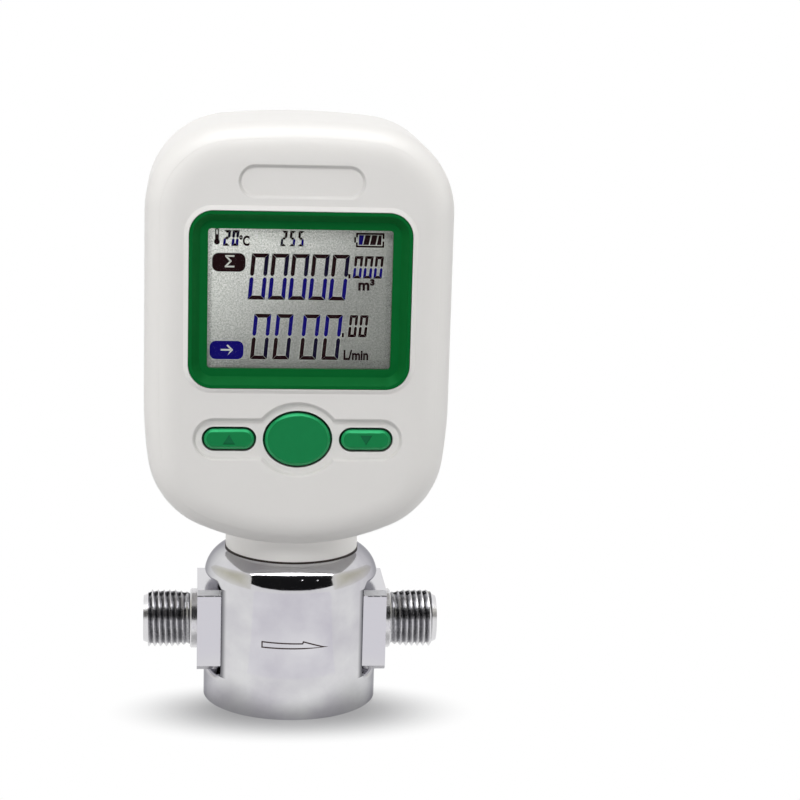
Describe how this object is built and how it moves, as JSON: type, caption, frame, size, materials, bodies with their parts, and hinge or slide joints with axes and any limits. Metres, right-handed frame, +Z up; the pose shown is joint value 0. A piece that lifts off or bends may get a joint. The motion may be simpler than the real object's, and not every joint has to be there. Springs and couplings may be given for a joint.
{
  "type": "gas flow meter",
  "caption": "Battery gas flow meter: white moulded head with a framed display and keys, on a bright round metal body with a threaded pipe end on each side.",
  "frame": {"origin": "middle of the flat base", "axes": "+Z up, the display faces -Y, gas flows along +X from inlet to outlet"},
  "size_m": [0.068, 0.0415, 0.1349],
  "materials": {
    "white_shell": "satin",
    "green_frame": "gloss",
    "green_key": "gloss",
    "clear_pane": "gloss",
    "display_glass": "satin",
    "dark_plastic": "satin",
    "board": "satin",
    "seal_rubber": "matt",
    "strip_rubber": "matt",
    "polished_metal": "mirror",
    "milled_metal": "satin",
    "screw_steel": "satin",
    "contact_metal": "satin",
    "cell_jacket": "gloss",
    "can_metal": "satin",
    "ribbon_film": "gloss",
    "ceramic": "matt"
  },
  "bodies": {
    "meter": {"front_housing": "white_shell", "rear_housing": "white_shell", "display_bezel": "green_frame", "display_window": "clear_pane", "lcd_panel": "display_glass", "lcd_holder": "dark_plastic", "contact_strips": "strip_rubber", "main_board": "board", "board_screws": "screw_steel", "key_switches": "dark_plastic", "processor_chip": "dark_plastic", "memory_chip": "dark_plastic", "supply_capacitors": "can_metal", "sensor_socket": "ceramic", "sensor_ribbon": "ribbon_film", "upper_contacts": "contact_metal", "lower_contacts": "contact_metal", "battery_cover": "white_shell", "battery_cover_screws": "screw_steel", "housing_screws": "screw_steel", "neck_gasket": "seal_rubber", "neck_flange": "milled_metal", "neck_flange_screws": "screw_steel", "body_shell": "polished_metal", "flow_block": "milled_metal", "inlet_fitting": "milled_metal", "outlet_fitting": "milled_metal", "inlet_o_ring": "seal_rubber", "outlet_o_ring": "seal_rubber", "inlet_screen": "screw_steel", "outlet_screen": "screw_steel", "flow_straightener": "dark_plastic", "sensor_carrier": "board", "sensor_chip": "ceramic", "sensor_gasket": "seal_rubber", "sensor_screws": "screw_steel", "base_plate": "milled_metal", "base_screws": "screw_steel", "battery_1": "cell_jacket", "battery_2": "cell_jacket", "battery_3": "cell_jacket"},
    "function_key": {"function_button": "green_key", "function_plunger": "dark_plastic"},
    "up_key": {"up_button": "green_key", "up_plunger": "dark_plastic"},
    "down_key": {"down_button": "green_key", "down_plunger": "dark_plastic"}
  },
  "joints": [
    {"name": "function_press", "type": "slide", "parent": "meter", "child": "function_key", "axis": [0, 1, 0], "range_m": [0, 0.0006], "stiffness_N_per_m": 500},
    {"name": "up_press", "type": "slide", "parent": "meter", "child": "up_key", "axis": [0, 1, 0], "range_m": [0, 0.0006], "stiffness_N_per_m": 500},
    {"name": "down_press", "type": "slide", "parent": "meter", "child": "down_key", "axis": [0, 1, 0], "range_m": [0, 0.0006], "stiffness_N_per_m": 500}
  ]
}
